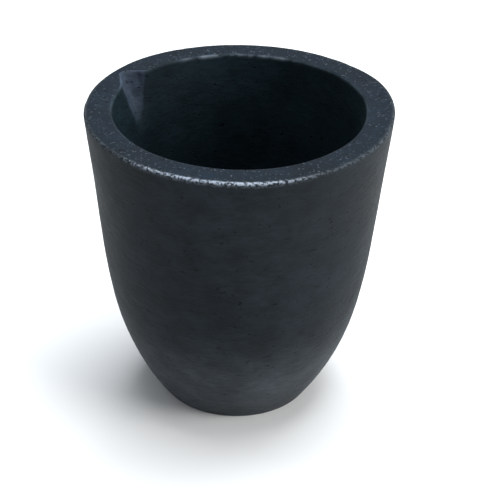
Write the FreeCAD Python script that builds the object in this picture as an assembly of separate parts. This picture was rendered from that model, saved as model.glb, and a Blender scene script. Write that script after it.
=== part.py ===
import FreeCAD, Part
import math
import os

# Foundry crucible: one thick-walled pot of black refractory, open at the top.
# It stands on its flat base at Z = 0, centred on the Z axis, with its pour groove on the +Y side.
# The outside is a straight, slightly tapered band that eases into the belly, and one long belly arc
# that runs down to the base. The inside is a bore of the same taper with a round bottom.
# Lengths are in millimetres and angles in degrees.

# Outside form
rim_diameter = 130.0
base_diameter = 65.6            # to the corner of the base, before its edge is broken
height = 135.0
band_depth = 61.0               # depth of the straight band below the rim
taper_angle = 6.25              # lean of the band from the vertical
ease_radius = 260.0             # of the shallow arc between the band and the belly arc
ease_turn = 5.7                 # by which that arc turns the wall further inward

# Wall and floor
rim_wall = 11.8                 # from the outer to the inner corner of the rim
floor_thickness = 15.0          # at the axis

# Pour groove: a tapered channel that leans outward from its tip on the inner wall to the rim
groove_depth = 23.0             # from the rim down to the tip
groove_land = 3.0               # wall left outside the groove at the rim
groove_mouth_radius = 8.7       # at the rim
groove_tip_radius = 3.5         # at the tip

# Broken edges, measured along the flat beside each one
rim_edge = 1.0                  # outer edge of the rim
mouth_edge = 0.9                # inner edge of the rim and both sides of the groove
base_edge = 0.8

# How far a cutter runs past the surface that it opens
overrun = 5.0

rim_radius = rim_diameter / 2
base_radius = base_diameter / 2
mouth_radius = rim_radius - rim_wall
taper = math.radians(taper_angle)


def on_profile(radius, level):
    """A point of a profile in the XZ plane: its distance from the axis and its level above the base."""
    return FreeCAD.Vector(radius, 0, level)


def into_wall(lean):
    """The direction square to a wall that leans inward by an angle on its way down, into the pot."""
    return FreeCAD.Vector(-math.cos(lean), 0, math.sin(lean))


def line(start, end):
    return Part.LineSegment(start, end).toShape()


def arc(centre, start, end):
    """The shorter arc about a centre from one point of a profile to another."""
    towards_middle = ((start - centre) + (end - centre)).normalize()
    middle = centre + towards_middle * (start - centre).Length
    return Part.Arc(start, middle, end).toShape()


def turned(edges):
    """The solid swept by a closed profile in one turn about the Z axis."""
    profile = Part.Face(Part.Wire(edges))
    return profile.revolve(FreeCAD.Vector(0, 0, 0), FreeCAD.Vector(0, 0, 1), 360)


def outside():
    """The pot as a full solid. Its two arcs run on from the band and from each other without a kink."""
    base_centre = on_profile(0, 0)
    base_corner = on_profile(base_radius, 0)
    rim_centre = on_profile(0, height)
    rim_corner = on_profile(rim_radius, height)
    band_foot = on_profile(rim_radius - band_depth * math.tan(taper), height - band_depth)
    ease_centre = band_foot + into_wall(taper) * ease_radius
    belly_lean = math.radians(taper_angle + ease_turn)
    belly_top = ease_centre - into_wall(belly_lean) * ease_radius
    # The belly arc has to end at the corner of the base, which settles its radius.
    chord = base_corner - belly_top
    belly_radius = chord.dot(chord) / (2 * chord.dot(into_wall(belly_lean)))
    belly_centre = belly_top + into_wall(belly_lean) * belly_radius
    return turned([
        line(base_centre, base_corner),
        arc(belly_centre, base_corner, belly_top),
        arc(ease_centre, belly_top, band_foot),
        line(band_foot, rim_corner),
        line(rim_corner, rim_centre),
        line(rim_centre, base_centre),
    ])


def cavity():
    """The space inside: a tapered bore that runs without a kink into a round bottom on the axis."""
    depth = height - floor_thickness
    bowl_radius = (mouth_radius - depth * math.tan(taper)) / (1 / math.cos(taper) - math.tan(taper))
    bowl_centre = on_profile(0, floor_thickness + bowl_radius)
    bowl_top = bowl_centre - into_wall(taper) * bowl_radius
    floor_centre = on_profile(0, floor_thickness)
    top_centre = on_profile(0, height + overrun)
    top_edge = on_profile(mouth_radius + overrun * math.tan(taper), height + overrun)
    return turned([
        arc(bowl_centre, floor_centre, bowl_top),
        line(bowl_top, top_edge),
        line(top_edge, top_centre),
        line(top_centre, floor_centre),
    ])


def groove_cutter():
    """A leaning cone whose outermost line is the bottom of the groove."""
    tip = FreeCAD.Vector(0, mouth_radius - groove_depth * math.tan(taper), height - groove_depth)
    bottom = FreeCAD.Vector(0, rim_radius - groove_land, height) - tip
    half_angle = math.asin((groove_mouth_radius - groove_tip_radius) / bottom.Length)
    lean = math.atan2(bottom.y, bottom.z) - half_angle
    along = FreeCAD.Vector(0, math.sin(lean), math.cos(lean))
    square_to_axis = FreeCAD.Vector(0, -math.cos(lean), math.sin(lean))
    # The cone starts below the tip, where it is clear of the wall, and ends above the rim.
    start = tip + square_to_axis * groove_tip_radius - along * overrun
    length = bottom.Length * math.cos(half_angle) + 2 * overrun
    start_radius = groove_tip_radius - overrun * math.tan(half_angle)
    end_radius = start_radius + length * math.tan(half_angle)
    return Part.makeCone(start_radius, end_radius, length, start, along)


def at_mouth(point):
    """Whether a point lies at the inner edge of the rim or on an edge of the groove."""
    return point.z > height - groove_depth and math.hypot(point.x, point.y) < rim_radius - groove_land


def at_rim_outside(point):
    return point.z > height - rim_edge and math.hypot(point.x, point.y) > rim_radius - rim_edge


def at_base(point):
    return point.z < base_edge and math.hypot(point.x, point.y) > base_radius - base_edge


def edges_where(body, place):
    """The curved edges of a body whose middle points are at a place."""
    edges = []
    for edge in body.Edges:
        if edge.Degenerated or edge.Curve.TypeId == "Part::GeomLine":
            continue
        if place(edge.valueAt((edge.FirstParameter + edge.LastParameter) / 2)):
            edges.append(edge)
    return edges


def crucible():
    body = outside().cut(cavity()).cut(groove_cutter())
    body = body.makeChamfer(mouth_edge, edges_where(body, at_mouth))
    body = body.makeChamfer(rim_edge, edges_where(body, at_rim_outside))
    body = body.makeChamfer(base_edge, edges_where(body, at_base))
    return body.Solids[0]


os.makedirs("parts", exist_ok=True)
crucible().exportStep("parts/crucible_body.step")
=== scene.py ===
import math

import bpy
import numpy as np
from mathutils import Matrix, Vector, noise


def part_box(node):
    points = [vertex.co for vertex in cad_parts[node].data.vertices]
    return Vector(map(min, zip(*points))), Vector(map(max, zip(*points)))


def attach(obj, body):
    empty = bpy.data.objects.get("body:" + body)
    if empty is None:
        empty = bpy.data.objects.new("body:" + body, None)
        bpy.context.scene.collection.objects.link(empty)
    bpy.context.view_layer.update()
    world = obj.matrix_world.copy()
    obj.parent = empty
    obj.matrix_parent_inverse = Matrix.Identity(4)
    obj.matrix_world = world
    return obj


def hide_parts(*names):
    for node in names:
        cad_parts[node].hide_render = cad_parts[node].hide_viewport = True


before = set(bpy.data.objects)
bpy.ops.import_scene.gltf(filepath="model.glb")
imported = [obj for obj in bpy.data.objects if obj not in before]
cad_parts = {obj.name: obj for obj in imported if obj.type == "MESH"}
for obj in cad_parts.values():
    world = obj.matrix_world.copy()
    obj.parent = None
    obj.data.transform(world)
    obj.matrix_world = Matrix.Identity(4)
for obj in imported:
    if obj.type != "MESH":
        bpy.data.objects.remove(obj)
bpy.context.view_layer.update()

# Foundry crucible. One dense, closed grid mesh takes the place of the CAD body. It has the same form,
# but its groove has a flat side and leans, its rim is a little out of round, its edges are rounded
# and its surfaces carry a small relief. The refractory material is procedural.
# Lengths are in metres, in the frame of the CAD: +Z is up, the pot stands on Z = 0, and its pour
# groove is on the +Y side.

NODE = "crucible_body"
MM = 0.001
body_low, body_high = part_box(NODE)

# ---------------------------------------------------------------- sizes of the pot
HEIGHT = body_high[2] - body_low[2]
TAPER = math.radians(6.25)           # lean of the band and of the bore
RIM_EDGE = 1.0 * MM                  # the CAD's broken edge, which sets how wide the box is
RIM_RADIUS = (body_high[0] - body_low[0]) / 2 + RIM_EDGE * math.tan(TAPER)
BASE_RADIUS = 32.8 * MM
BAND_DEPTH = 61.0 * MM
EASE_RADIUS = 260.0 * MM
EASE_TURN = math.radians(5.7)
RIM_WALL = 11.8 * MM
FLOOR = 15.0 * MM
MOUTH_RADIUS = RIM_RADIUS - RIM_WALL

GROOVE_DEPTH = 23.0 * MM             # from the rim down to the tip
GROOVE_LAND = 3.0 * MM               # wall left outside the groove at the rim
GROOVE_MOUTH_RADIUS = 11.0 * MM
GROOVE_TIP_RADIUS = 3.5 * MM
GROOVE_SWAY = math.radians(6.8)      # lean of the groove towards -X
FLAT_SETBACK = 0.9 * MM              # of the flat on its -X side from the bottom of the groove
FLAT_TURN = math.radians(38.8)       # of that flat about Z
FLAT_LEAN = math.radians(16.5)       # and from the vertical

RIM_ROUND = 1.1 * MM                 # rounding of the outer edge of the rim
MOUTH_ROUND = 1.0 * MM               # rounding of the inner edge of the rim
BASE_ROUND = 0.9 * MM
GROOVE_BLEND = 2.2 * MM              # over which the groove and the bore run into each other
VALLEY_BLEND = 1.6 * MM              # over which the flat and the round side of the groove do

# ---------------------------------------------------------------- grid of the mesh
FAN_HALF = math.radians(16)          # the columns are closer together on both sides of the groove
FAN_COLUMNS = 72
OTHER_COLUMNS = 408
COLUMNS = FAN_COLUMNS + OTHER_COLUMNS
GROOVE_AZIMUTH = math.radians(90)
RAYS = 500                           # for tracing one contour of the groove
RAY_CROWDING = 1.6                   # draws the rays towards both ends of the fan
HALVINGS = 40                        # by which a ray finds the wall
SMOOTHINGS = 3                       # of the directions from the inner wall into the rim
GROOVE_MARGIN = 4 * MM               # below its tip, down to which the wall is traced

# Rows of the grid, from the middle of the base round to the middle of the bowl
BASE_ROWS = 6
BASE_ROUND_ROWS = 4
BELLY_ROWS = 40
EASE_ROWS = 19
BAND_ROWS = 46
RIM_ROUND_ROWS = 5
RIM_ROWS = 13
MOUTH_ROUND_ROWS = 5
GROOVE_ROWS = 33
BORE_ROWS = 16
BOWL_ROWS = 16


def column_azimuths():
    """The azimuths of the columns, with the fan at the groove first."""
    fan = np.linspace(-FAN_HALF, FAN_HALF, FAN_COLUMNS + 1)
    rest = np.linspace(FAN_HALF, 2 * math.pi - FAN_HALF, OTHER_COLUMNS + 1)[1:-1]
    return GROOVE_AZIMUTH + np.concatenate([fan, rest])


AZIMUTHS = column_azimuths()


def ring(radius, level):
    """One row of the grid: a level circle."""
    levels = np.full(COLUMNS, level)
    return np.stack([radius * np.cos(AZIMUTHS), radius * np.sin(AZIMUTHS), levels], -1)


# ---------------------------------------------------------------- profile of the pot
def square_in(lean):
    """The direction into the pot, as (radius, level), square to a wall that leans by an angle."""
    return np.array([-math.cos(lean), math.sin(lean)])


def arc_points(centre, start, end, steps):
    """Profile points along the shorter arc from start, left out, to end."""
    first = math.atan2(start[1] - centre[1], start[0] - centre[0])
    last = math.atan2(end[1] - centre[1], end[0] - centre[0])
    radius = math.hypot(start[0] - centre[0], start[1] - centre[1])
    angles = np.linspace(first, last, steps + 1)[1:]
    return [centre + radius * np.array([math.cos(a), math.sin(a)]) for a in angles]


def line_points(start, end, steps):
    """Profile points along a line from start, left out, to end."""
    return [start + (end - start) * i / steps for i in range(1, steps + 1)]


def outer_profile():
    """Profile points from near the middle of the base, up the outside, to the flat of the rim."""
    base_corner = np.array([BASE_RADIUS, 0.0])
    band_foot = np.array([RIM_RADIUS - BAND_DEPTH * math.tan(TAPER), HEIGHT - BAND_DEPTH])
    ease_centre = band_foot + square_in(TAPER) * EASE_RADIUS
    belly_lean = TAPER + EASE_TURN
    belly_top = ease_centre - square_in(belly_lean) * EASE_RADIUS
    chord = base_corner - belly_top
    belly_radius = chord.dot(chord) / (2 * chord.dot(square_in(belly_lean)))
    belly_centre = belly_top + square_in(belly_lean) * belly_radius

    # The rounding of the base touches its flat from above and the belly arc from within.
    reach = belly_radius - BASE_ROUND
    offset = belly_centre[0] + math.sqrt(reach**2 - (belly_centre[1] - BASE_ROUND) ** 2)
    base_round = np.array([offset, BASE_ROUND])
    outward = (base_round - belly_centre) / np.linalg.norm(base_round - belly_centre)
    belly_foot = belly_centre + outward * belly_radius
    base_edge = np.array([offset, 0.0])

    rim_offset = RIM_RADIUS - RIM_ROUND * (math.tan(TAPER) + 1 / math.cos(TAPER))
    rim_round = np.array([rim_offset, HEIGHT - RIM_ROUND])
    band_top = rim_round - square_in(TAPER) * RIM_ROUND
    rim_edge = np.array([rim_offset, HEIGHT])

    points = line_points(np.array([0.0, 0.0]), base_edge, BASE_ROWS)
    points += arc_points(base_round, base_edge, belly_foot, BASE_ROUND_ROWS)
    points += arc_points(belly_centre, belly_foot, belly_top, BELLY_ROWS)
    points += arc_points(ease_centre, belly_top, band_foot, EASE_ROWS)
    points += line_points(band_foot, band_top, BAND_ROWS)
    points += arc_points(rim_round, band_top, rim_edge, RIM_ROUND_ROWS)
    return points


def bore_radius(level):
    """Radius of the inner wall above the bowl, without the groove."""
    return MOUTH_RADIUS - (HEIGHT - level) * math.tan(TAPER)


def bowl():
    """Radius and centre level of the round bottom, which meets the bore without a kink."""
    depth = HEIGHT - FLOOR
    radius = (MOUTH_RADIUS - depth * math.tan(TAPER)) / (1 / math.cos(TAPER) - math.tan(TAPER))
    return radius, FLOOR + radius


# ---------------------------------------------------------------- the pour groove
GROOVE_TIP = Vector((0, MOUTH_RADIUS - GROOVE_DEPTH * math.tan(TAPER), HEIGHT - GROOVE_DEPTH))
GROOVE_RIM_POINT = Vector((0, RIM_RADIUS - GROOVE_LAND, HEIGHT))


def groove_channel():
    """A point on the axis of the leaning cone, the direction of its axis, and its half angle."""
    bottom = GROOVE_RIM_POINT - GROOVE_TIP
    half_angle = math.asin((GROOVE_MOUTH_RADIUS - GROOVE_TIP_RADIUS) / bottom.length)
    lean = math.atan2(bottom.y, bottom.z) - half_angle
    sway = Matrix.Rotation(-GROOVE_SWAY, 3, "Y")
    axis = sway @ Vector((0, math.sin(lean), math.cos(lean)))
    centre = GROOVE_TIP + sway @ Vector((0, -math.cos(lean), math.sin(lean))) * GROOVE_TIP_RADIUS
    return np.array(centre), np.array(axis), half_angle


def groove_flat():
    """A point on the flat that cuts the -X side of the channel short, and its direction outward."""
    into_rim = Vector((-math.sin(FLAT_TURN), math.cos(FLAT_TURN), 0))
    point = GROOVE_RIM_POINT - into_rim * FLAT_SETBACK
    square = into_rim * math.cos(FLAT_LEAN) - Vector((0, 0, 1)) * math.sin(FLAT_LEAN)
    return np.array(point), np.array(square)


CHANNEL_CENTRE, CHANNEL_AXIS, CHANNEL_HALF_ANGLE = groove_channel()
FLAT_POINT, FLAT_SQUARE = groove_flat()


def smooth_min(first, second, blend):
    """The smaller of two distances, rounded over where they are about equal."""
    near = np.maximum(blend - np.abs(first - second), 0) / blend
    return np.minimum(first, second) - near**2 * blend / 4


def groove_distance(points):
    """Distance of points from the groove, negative within it."""
    offset = points - CHANNEL_CENTRE
    along = offset @ CHANNEL_AXIS
    across = np.linalg.norm(offset - along[..., None] * CHANNEL_AXIS, axis=-1)
    channel = across - GROOVE_TIP_RADIUS - along * math.tan(CHANNEL_HALF_ANGLE)
    flat = (points - FLAT_POINT) @ FLAT_SQUARE
    return -smooth_min(-channel * math.cos(CHANNEL_HALF_ANGLE), -flat, VALLEY_BLEND)


def hollow_distance(points):
    """Distance from the bore and the groove together, with the edge between them rounded over."""
    bore = np.hypot(points[..., 0], points[..., 1]) - bore_radius(points[..., 2])
    return smooth_min(bore, groove_distance(points), GROOVE_BLEND)


def mouth_ring(level):
    """One row of the grid on the inner wall at a level that the groove may cut."""
    row = ring(bore_radius(level), level)
    half_chord = bore_radius(level) * math.sin(FAN_HALF)
    middle = np.array([0.0, bore_radius(level) * math.cos(FAN_HALF), level])
    swing = np.linspace(-1, 1, RAYS)
    angles = np.sign(swing) * (1 - (1 - np.abs(swing)) ** RAY_CROWDING) * math.pi / 2
    rays = np.stack([-np.sin(angles), np.cos(angles), np.zeros(RAYS)], -1)
    near = np.zeros(RAYS)
    far = np.full(RAYS, 2 * half_chord)
    for _ in range(HALVINGS):
        half_way = (near + far) / 2
        inside = hollow_distance(middle + rays * half_way[:, None]) < 0
        near = np.where(inside, half_way, near)
        far = np.where(inside, far, half_way)
    contour = middle + rays * near[:, None]
    steps = np.linalg.norm(np.diff(contour, axis=0), axis=1)
    run = np.concatenate([[0], np.cumsum(steps)])
    wanted = np.linspace(0, run[-1], FAN_COLUMNS + 1)
    for axis in range(2):
        row[: FAN_COLUMNS + 1, axis] = np.interp(wanted, run, contour[:, axis])
    return row


def into_rim(row):
    """The level directions from a row of the inner wall into the wall, one for each point."""
    along = np.roll(row, -1, axis=0) - np.roll(row, 1, axis=0)
    across = np.stack([along[:, 1], -along[:, 0], np.zeros(COLUMNS)], -1)
    across = across / np.linalg.norm(across, axis=1)[:, None]
    for _ in range(SMOOTHINGS):
        across = (np.roll(across, 1, axis=0) + 2 * across + np.roll(across, -1, axis=0)) / 4
    return across / np.linalg.norm(across, axis=1)[:, None]


# ---------------------------------------------------------------- the rows of the grid
def pot_rows():
    """All rows, and the zone of each."""
    rows = []
    zones = []

    def add(row, zone):
        rows.append(row)
        zones.append(zone)

    for radius, level in outer_profile():
        add(ring(radius, level), "outside")

    mouth = mouth_ring(HEIGHT)
    inward = into_rim(mouth)
    flat_outer = rows[-1]
    flat_inner = mouth + inward * MOUTH_ROUND
    for i in range(1, RIM_ROWS + 1):
        add(flat_outer + (flat_inner - flat_outer) * i / RIM_ROWS, "rim")
    for i in range(MOUTH_ROUND_ROWS - 1, -1, -1):
        turn = i / MOUTH_ROUND_ROWS * math.pi / 2
        level = HEIGHT - MOUTH_ROUND * (1 - math.sin(turn))
        add(mouth_ring(level) + inward * MOUTH_ROUND * (1 - math.cos(turn)), "mouth_edge")

    groove_foot = HEIGHT - GROOVE_DEPTH - GROOVE_MARGIN
    for level in np.linspace(HEIGHT - MOUTH_ROUND, groove_foot, GROOVE_ROWS + 1)[1:]:
        add(mouth_ring(level), "inside")
    bowl_radius, bowl_level = bowl()
    bowl_top = bowl_level - bowl_radius * math.sin(TAPER)
    for level in np.linspace(groove_foot, bowl_top, BORE_ROWS + 1)[1:]:
        add(ring(bore_radius(level), level), "inside")
    for angle in np.linspace(TAPER, math.pi / 2, BOWL_ROWS + 2)[1:-1]:
        level = bowl_level - bowl_radius * math.sin(angle)
        add(ring(bowl_radius * math.cos(angle), level), "inside")
    return rows, zones


ROWS, ZONES = pot_rows()


def pot_mesh():
    """The closed grid mesh, without relief."""
    vertices = np.concatenate(ROWS + [np.array([[0.0, 0.0, 0.0], [0.0, 0.0, FLOOR]])])
    faces = []
    for i in range(len(ROWS) - 1):
        for k in range(COLUMNS):
            following = (k + 1) % COLUMNS
            faces.append((i * COLUMNS + k, i * COLUMNS + following,
                          (i + 1) * COLUMNS + following, (i + 1) * COLUMNS + k))
    base_middle = len(vertices) - 2
    floor_middle = len(vertices) - 1
    last = (len(ROWS) - 1) * COLUMNS
    for k in range(COLUMNS):
        following = (k + 1) % COLUMNS
        faces.append((following, k, base_middle))
        faces.append((last + k, last + following, floor_middle))
    mesh = bpy.data.meshes.new("crucible")
    mesh.from_pydata(vertices.tolist(), [], faces)
    mesh.update()
    return mesh


# ---------------------------------------------------------------- relief
# The swells of the rim away from a circle: azimuth and half-width in degrees, and rise
RIM_SWELLS = [(-32, 42, 1.9 * MM), (33, 40, -0.7 * MM), (226, 34, 0.8 * MM)]
SWELL_DEPTH = 45 * MM                # over which a swell fades below the rim
INNER_SWELL = 0.5                    # share of a swell that the bore takes

# Where highlights are painted on the edges of the rim, and around which the outer edge's chips gather:
# azimuth and half-width in degrees
OUTER_EDGE_HIGHLIGHT = (203, 42)
INNER_EDGE_HIGHLIGHT = (33, 34)

# Noise of the relief: features to the metre along X, Y and Z, first seed and number of layers
SOFT_WAVES = ((28, 28, 22), 1, 2)
FINE_WAVES = ((190, 190, 420), 4, 3)
GROOVE_WAVES = ((260, 260, 200), 8, 3)
CHIPS = ((150, 150, 150), 12, 3)
SOFT_HEIGHT = 0.22 * MM
FINE_HEIGHT = 0.05 * MM
GROOVE_HEIGHT = 0.30 * MM
CHIP_START = 0.22                    # value of the noise at which a chip begins
CHIP_DEPTH = 0.8 * MM                # for one more unit of the noise

FLOOR_BOUNCE_LEVELS = (4 * MM, 62 * MM)      # over which the painted bounce light of the floor on the foot fades
GROOVE_LEVELS = (HEIGHT - 27 * MM, HEIGHT - 11 * MM)    # over which the groove's colour comes in
BOX_MARGIN = 0.3 * MM                # inside the CAD's box, where points begin to be drawn in


def fade(value, start, end):
    """0 at start and 1 at end, with soft ends."""
    share = np.clip((value - start) / (end - start), 0, 1)
    return share * share * (3 - 2 * share)


def noise_at(points, stretch, seed):
    """Seeded noise between about -1 and 1, at so many features to the metre along X, Y and Z."""
    shift = Vector((seed * 7.13, seed * 3.71, seed * 5.37))
    scaled = points * np.array(stretch)
    return np.array([noise.noise(Vector(point) + shift) for point in scaled.tolist()])


def ripples(points, stretch, seed, layers):
    """Noise in layers, each with features half as large and half as high as the one before."""
    total = np.zeros(len(points))
    for layer in range(layers):
        total += noise_at(points, np.array(stretch) * 2**layer, seed + layer) / 2**layer
    return total


def degrees_from(points, place):
    """How far each point is from an azimuth, in degrees."""
    azimuth = np.degrees(np.arctan2(points[:, 1], points[:, 0]))
    return np.abs((azimuth - place + 180) % 360 - 180)


def around(points, place, half_width, least):
    """1 at an azimuth, and softly down to the least value on both sides of it."""
    near = 1 - fade(degrees_from(points, place), 0.35 * half_width, half_width)
    return least + (1 - least) * near


def zone_masks(points):
    """One value from 0 to 1 for each vertex and zone."""
    zone = np.repeat(np.array(ZONES), COLUMNS)
    zone = np.concatenate([zone, ["outside", "inside"]])
    radius = np.hypot(points[:, 0], points[:, 1])
    level = points[:, 2]
    inner = (zone == "inside") | (zone == "mouth_edge")
    beyond_bore = radius - bore_radius(level)
    at_top = fade(level, HEIGHT - 1.5 * MM, HEIGHT - 0.5 * MM)
    outer_edge = fade(radius, RIM_RADIUS - 1.5 * MM, RIM_RADIUS - 0.7 * MM) * at_top
    inner_edge = (1 - fade(np.abs(beyond_bore), 0.5 * MM, 1.3 * MM)) * at_top
    return {
        # painted highlights on the outer and inner edges of the rim, each in a window of azimuth
        "highlight_outer_edge": outer_edge * around(points, *OUTER_EDGE_HIGHLIGHT, least=0.12),
        "highlight_inner_edge": inner_edge * around(points, *INNER_EDGE_HIGHLIGHT, least=0.10),
        # lighter towards the foot: painted bounce light of the floor
        "floor_bounce": 1 - fade(level, *FLOOR_BOUNCE_LEVELS),
        "inside": inner.astype(float),
        "outside": (zone == "outside").astype(float),
        "rim": (zone == "rim").astype(float),
        "groove": inner * fade(beyond_bore, 0.3 * MM, 1.5 * MM) * fade(level, *GROOVE_LEVELS),
    }


def relief(points, masks):
    """How far each vertex moves out along its normal, and how far away from the axis."""
    level = points[:, 2]
    above_base = fade(level, 0.2 * MM, 4 * MM)
    soft = ripples(points, *SOFT_WAVES) * SOFT_HEIGHT
    fine = ripples(points, *FINE_WAVES) * FINE_HEIGHT
    groove = ripples(points, *GROOVE_WAVES) * GROOVE_HEIGHT * masks["groove"]
    outward = (soft + fine) * masks["outside"] * above_base
    outward += fine * (masks["inside"] + masks["rim"]) + groove

    # The outer edge of the rim is chipped and a little crushed, above all where its highlight is
    # painted.
    radius = np.hypot(points[:, 0], points[:, 1])
    edge = fade(radius, RIM_RADIUS - 4 * MM, RIM_RADIUS - 1 * MM)
    edge *= fade(level, HEIGHT - 4 * MM, HEIGHT - 0.6 * MM)
    chips = np.maximum(ripples(points, *CHIPS) - CHIP_START, 0)
    outward -= chips * CHIP_DEPTH * edge * around(points, *OUTER_EDGE_HIGHLIGHT, least=0.25)

    swell = np.zeros(len(points))
    for place, half_width, rise in RIM_SWELLS:
        swell += rise * (1 - fade(degrees_from(points, place), 0, half_width))
    swell *= fade(level, HEIGHT - SWELL_DEPTH, HEIGHT)
    inner_share = 1 - (1 - INNER_SWELL) * fade(RIM_RADIUS - radius, 2 * MM, RIM_WALL)
    return outward, swell * inner_share


def keep_in_box(points):
    """Draws in what would stand outside the CAD's box, softly."""
    start = min(body_high[0], -body_low[0], body_high[1], -body_low[1]) - BOX_MARGIN
    reach = np.maximum(np.abs(points[:, 0]), np.abs(points[:, 1]))
    over = np.maximum(reach - start, 0)
    drawn = np.where(over > 0, start + BOX_MARGIN * (1 - np.exp(-over / BOX_MARGIN)), reach)
    points[:, :2] *= (drawn / np.maximum(reach, MM))[:, None]
    points[:, 2] = np.clip(points[:, 2], 0, HEIGHT)


def add_relief(mesh):
    """Moves the vertices by the relief, and keeps the masks for the material."""
    count = len(mesh.vertices)
    points = np.empty(count * 3)
    normals = np.empty(count * 3)
    mesh.vertices.foreach_get("co", points)
    mesh.vertices.foreach_get("normal", normals)
    points = points.reshape(-1, 3)
    normals = normals.reshape(-1, 3)
    masks = zone_masks(points)
    outward, away = relief(points, masks)
    radius = np.maximum(np.hypot(points[:, 0], points[:, 1]), MM)
    moved = points + normals * outward[:, None]
    moved[:, :2] += points[:, :2] / radius[:, None] * away[:, None]
    moved[points[:, 2] < 0.01 * MM, 2] = 0
    keep_in_box(moved)
    mesh.vertices.foreach_set("co", moved.ravel())
    mesh.update()
    for name, values in masks.items():
        mesh.attributes.new(name, "FLOAT", "POINT").data.foreach_set("value", values)


mesh = pot_mesh()
pot = bpy.data.objects.new("crucible", mesh)
bpy.context.scene.collection.objects.link(pot)
add_relief(mesh)
mesh.shade_smooth()

# ---------------------------------------------------------------- material
OUTSIDE_COLOUR = (0.0095, 0.0135, 0.0170, 1)
FLOOR_BOUNCE_COLOUR = (0.0460, 0.0535, 0.0610, 1)     # painted bounce light of the floor on the foot of the pot
INSIDE_COLOUR = (0.0062, 0.0130, 0.0175, 1)
RIM_COLOUR = (0.0050, 0.0100, 0.0165, 1)
GROOVE_COLOUR = (0.0300, 0.0410, 0.0600, 1)
GRIT_COLOUR = (0.0700, 0.0850, 0.1050, 1)
# painted highlight on the edges of the rim
PAINTED_HIGHLIGHT_COLOUR = (0.3400, 0.3900, 0.4700, 1)

# Features to the metre along X, Y and Z
CLOUDS = (24, 24, 24)
PATCHES = (85, 85, 120)
STREAKS = (210, 210, 950)            # the fine marks of the turning
LONG_STREAKS = (70, 70, 480)
PITS = (420, 420, 700)
GRIT = (900, 900, 900)
GRAIN = (1500, 1500, 1500)

ROUGHNESS_RANGE = (0.48, 0.66)
SPECULAR_LEVEL = 0.07
PAINTED_PIT_SHADE = 0.35                  # share of the colour that a pit keeps, which paints shade into the pits
INNER_STREAKS = 0.25                 # height of the streaks inside, as a share of the outside's
BUMP_DISTANCE = 0.25 * MM
BUMP_STRENGTH = 0.9


class Nodes:
    """Short calls for building a node tree."""

    def __init__(self, tree):
        self.tree = tree

    def link(self, source, target):
        """Joins an output to an input, or sets the input where the source is a plain value."""
        if isinstance(source, (int, float, tuple)):
            target.default_value = source
        else:
            self.tree.links.new(source, target)

    def new(self, kind, **settings):
        node = self.tree.nodes.new(kind)
        for name, value in settings.items():
            setattr(node, name, value)
        return node

    def math(self, operation, first, second=0.0, clamp=False):
        node = self.new("ShaderNodeMath", operation=operation, use_clamp=clamp)
        self.link(first, node.inputs[0])
        self.link(second, node.inputs[1])
        return node.outputs[0]

    def mix(self, share, first, second):
        node = self.new("ShaderNodeMix", data_type="RGBA")
        self.link(share, node.inputs["Factor"])
        self.link(first, node.inputs["A"])
        self.link(second, node.inputs["B"])
        return node.outputs["Result"]

    def spread(self, value, start, end, to_start=0.0, to_end=1.0):
        """Takes the range from start to end of a value onto another range, and clamps it."""
        node = self.new("ShaderNodeMapRange", clamp=True)
        node.inputs["From Min"].default_value = start
        node.inputs["From Max"].default_value = end
        node.inputs["To Min"].default_value = to_start
        node.inputs["To Max"].default_value = to_end
        self.link(value, node.inputs["Value"])
        return node.outputs["Result"]

    def mask(self, name):
        """One of the values that add_relief keeps with the mesh."""
        return self.new("ShaderNodeAttribute", attribute_name=name).outputs["Fac"]

    def noise(self, place, stretch, detail, roughness=0.55):
        """Noise at so many features to the metre along X, Y and Z of the object."""
        mapping = self.new("ShaderNodeMapping")
        mapping.inputs["Scale"].default_value = stretch
        self.link(place, mapping.inputs["Vector"])
        node = self.new("ShaderNodeTexNoise")
        node.inputs["Scale"].default_value = 1.0
        node.inputs["Detail"].default_value = detail
        node.inputs["Roughness"].default_value = roughness
        self.link(mapping.outputs["Vector"], node.inputs["Vector"])
        return node.outputs["Fac"]


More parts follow.
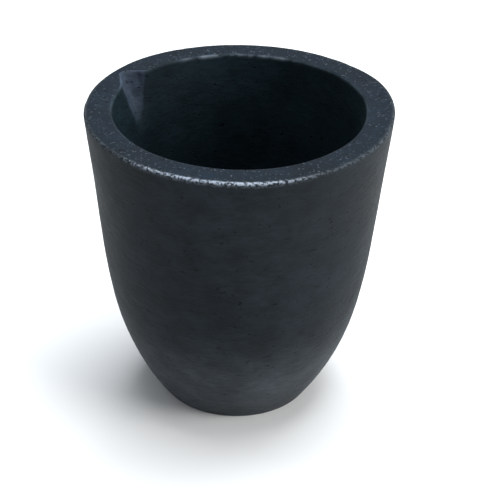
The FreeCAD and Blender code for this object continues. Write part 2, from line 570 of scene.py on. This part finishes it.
def refractory():
    """Near-black fired refractory, with the streaks of its turning, and painted light: floor bounce at
    the foot, highlights on the rim's edges and shade in the pits.
    """
    material = bpy.data.materials.new("refractory")
    material.use_nodes = True
    shader = material.node_tree.nodes["Principled BSDF"]
    n = Nodes(material.node_tree)
    place = n.new("ShaderNodeTexCoord").outputs["Object"]
    clouds = n.noise(place, CLOUDS, 4)
    patches = n.noise(place, PATCHES, 4, 0.6)
    streaks = n.noise(place, STREAKS, 6, 0.7)
    pits = n.spread(n.noise(place, PITS, 2, 0.5), 0.64, 0.72)
    long_streaks = n.noise(place, LONG_STREAKS, 3, 0.6)
    grain = n.noise(place, GRAIN, 3, 0.7)
    grit = n.noise(place, GRIT, 2, 0.6)

    # Lighter towards the foot: painted bounce light of the floor.
    colour = n.mix(n.mask("floor_bounce"), OUTSIDE_COLOUR, FLOOR_BOUNCE_COLOUR)
    colour = n.mix(n.mask("inside"), colour, INSIDE_COLOUR)
    colour = n.mix(n.mask("rim"), colour, RIM_COLOUR)
    colour = n.mix(n.mask("groove"), colour, GROOVE_COLOUR)
    light_and_dark = n.spread(clouds, 0.3, 0.7, 0.75, 1.25)
    # Random tone from streaks and patches, and darker pits, which is painted shade in the pits.
    for shade in (n.spread(streaks, 0.3, 0.7, 0.72, 1.3),
                  n.spread(patches, 0.3, 0.7, 0.75, 1.25),
                  n.spread(pits, 0, 1, 1.0, PAINTED_PIT_SHADE)):
        light_and_dark = n.math("MULTIPLY", light_and_dark, shade)
    scaled = n.new("ShaderNodeVectorMath", operation="SCALE")
    n.link(colour, scaled.inputs[0])
    n.link(light_and_dark, scaled.inputs["Scale"])
    specks = n.math("MULTIPLY", n.spread(grit, 0.62, 0.72), n.mask("rim"), clamp=True)
    colour = n.mix(specks, scaled.outputs["Vector"], GRIT_COLOUR)
    # Painted highlights on the edges of the rim, broken up by noise.
    outer_highlight = n.math("MULTIPLY", n.mask("highlight_outer_edge"), n.spread(grit, 0.40, 0.58))
    inner_highlight = n.math("MULTIPLY", n.mask("highlight_inner_edge"), n.spread(patches, 0.42, 0.62, 0.0, 0.3))
    colour = n.mix(n.math("ADD", outer_highlight, inner_highlight), colour, PAINTED_HIGHLIGHT_COLOUR)
    n.link(colour, shader.inputs["Base Color"])

    half_streaks = n.math("MULTIPLY", streaks, 0.5)
    half_clouds = n.math("MULTIPLY", clouds, 0.5)
    unevenness = n.math("ADD", half_streaks, half_clouds)
    n.link(n.spread(unevenness, 0.35, 0.65, *ROUGHNESS_RANGE), shader.inputs["Roughness"])
    shader.inputs["Specular IOR Level"].default_value = SPECULAR_LEVEL

    turned = n.math("ADD", n.math("MULTIPLY", streaks, 0.9), n.math("MULTIPLY", long_streaks, 0.8))
    height = n.math("MULTIPLY", turned, n.spread(n.mask("inside"), 0, 1, 1.0, INNER_STREAKS))
    height = n.math("ADD", height, n.math("MULTIPLY", grain, 0.35))
    height = n.math("SUBTRACT", height, n.math("MULTIPLY", pits, 0.6))
    rim_grit = n.math("MULTIPLY", grit, n.mask("rim"))
    height = n.math("ADD", height, n.math("MULTIPLY", rim_grit, 0.8))
    bump = n.new("ShaderNodeBump")
    bump.inputs["Distance"].default_value = BUMP_DISTANCE
    bump.inputs["Strength"].default_value = BUMP_STRENGTH
    n.link(height, bump.inputs["Height"])
    n.link(bump.outputs["Normal"], shader.inputs["Normal"])
    return material


mesh.materials.append(refractory())

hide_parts(NODE)
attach(pot, "root")

# ---------------------------------------------------------------- floor, light and camera
CAMERA_TURN = math.radians(-58.2)    # about Z, from a camera that looks along +Y
RIM_CENTRE = Vector((0, 0, HEIGHT))
FLOOR_HALF = 4.0                     # half the side of the floor


def from_camera_side(x, y, z):
    """A direction or place given as seen by the camera (right, away, up), in the frame of the pot."""
    return Matrix.Rotation(CAMERA_TURN, 3, "Z") @ Vector((x, y, z))


def make_camera():
    """A long lens that looks down on the pot, which stands a little to the left in the picture."""
    pitch = math.radians(30.9)
    roll = math.radians(1.006)
    distance = 12 * RIM_RADIUS
    right_shift = 0.0865 * RIM_RADIUS
    rise = 0.9125 * RIM_RADIUS
    right = from_camera_side(1, 0, 0)
    up = from_camera_side(0, math.sin(pitch), math.cos(pitch))
    forward = from_camera_side(0, math.cos(pitch), -math.sin(pitch))
    data = bpy.data.cameras.new("camera")
    data.lens = 134.1
    data.sensor_width = 36.0
    camera = bpy.data.objects.new("camera", data)
    place = RIM_CENTRE + right * right_shift - up * rise - forward * distance
    rolled_right = right * math.cos(roll) + up * math.sin(roll)
    rolled_up = up * math.cos(roll) - right * math.sin(roll)
    turn = Matrix((rolled_right, rolled_up, -forward)).transposed()
    camera.matrix_world = Matrix.Translation(place) @ turn.to_4x4()
    bpy.context.scene.collection.objects.link(camera)
    bpy.context.scene.camera = camera


def make_floor():
    """A pale floor, which takes the shadow of the pot."""
    data = bpy.data.meshes.new("floor")
    corners = [(x * FLOOR_HALF, y * FLOOR_HALF, 0) for x, y in ((-1, -1), (1, -1), (1, 1), (-1, 1))]
    data.from_pydata(corners, [], [(0, 1, 2, 3)])
    floor = bpy.data.objects.new("floor", data)
    bpy.context.scene.collection.objects.link(floor)
    paint = bpy.data.materials.new("floor")
    paint.use_nodes = True
    shader = paint.node_tree.nodes["Principled BSDF"]
    shader.inputs["Base Color"].default_value = (0.95, 0.95, 0.95, 1)
    shader.inputs["Roughness"].default_value = 0.9
    data.materials.append(paint)


def area_light(name, place, size, power, colour):
    """A square lamp that faces the middle of the pot."""
    data = bpy.data.lights.new(name, "AREA")
    data.shape = "SQUARE"
    data.size = size
    data.energy = power
    data.color = colour
    light = bpy.data.objects.new(name, data)
    light.location = place
    light.rotation_mode = "QUATERNION"
    aim = Vector((0, 0, HEIGHT / 2)) - place
    light.rotation_quaternion = aim.to_track_quat("-Z", "Y")
    bpy.context.scene.collection.objects.link(light)


def make_light():
    """Two soft lamps, and a grey world that the camera and reflections see as white."""
    area_light("top_light", from_camera_side(0.1, 0.2, 1.2),
               size=0.9, power=20, colour=(0.93, 0.97, 1.0))
    area_light("right_light", from_camera_side(1.2, -0.5, 0.6),
               size=0.8, power=16, colour=(1.0, 0.99, 0.96))
    world = bpy.data.worlds.new("studio")
    world.use_nodes = True
    bpy.context.scene.world = world
    n = Nodes(world.node_tree)
    grey = world.node_tree.nodes["Background"]
    grey.inputs["Color"].default_value = (0.9, 0.95, 1.0, 1)
    grey.inputs["Strength"].default_value = 0.35
    white = n.new("ShaderNodeBackground")
    white.inputs["Strength"].default_value = 1.0
    path = n.new("ShaderNodeLightPath")
    seen = n.math("MAXIMUM", path.outputs["Is Camera Ray"], path.outputs["Is Glossy Ray"])
    seen = n.math("MAXIMUM", seen, path.outputs["Is Transmission Ray"])
    mix = n.new("ShaderNodeMixShader")
    n.link(seen, mix.inputs["Fac"])
    n.link(grey.outputs[0], mix.inputs[1])
    n.link(white.outputs[0], mix.inputs[2])
    n.link(mix.outputs[0], world.node_tree.nodes["World Output"].inputs["Surface"])


make_camera()
make_floor()
make_light()
bpy.context.scene.view_settings.view_transform = "Standard"
